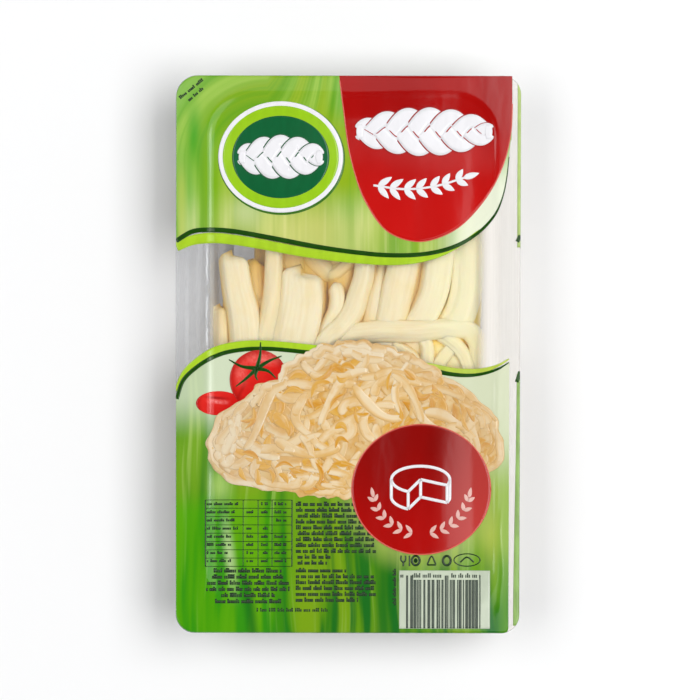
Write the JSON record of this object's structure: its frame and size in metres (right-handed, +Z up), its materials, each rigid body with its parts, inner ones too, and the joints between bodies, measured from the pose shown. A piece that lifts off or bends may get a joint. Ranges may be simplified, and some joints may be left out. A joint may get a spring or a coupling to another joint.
{
  "type": "packed string cheese",
  "caption": "Flat sealed pack of braided string cheese: clear formed tray with a flange, strands laid lengthwise, printed lid film with a clear window.",
  "frame": {"origin": "under the middle of the pack, on the surface that it rests on", "axes": "+Z up through the printed lid, +Y to the top edge of the print, +X to the right of the print"},
  "size_m": [0.1106, 0.179, 0.0207],
  "materials": {
    "clear_tray": "clear formed sheet, glossy",
    "cheese": "moist, softly glossy pale yellow cheese with fine lengthwise fibres",
    "printed_film": "glossy film, printed on its inner face in greens, red and cream, clear across the window"
  },
  "bodies": {
    "root": {"tray": "clear_tray", "cheese": "cheese", "lid_film": "printed_film"}
  },
  "joints": []
}
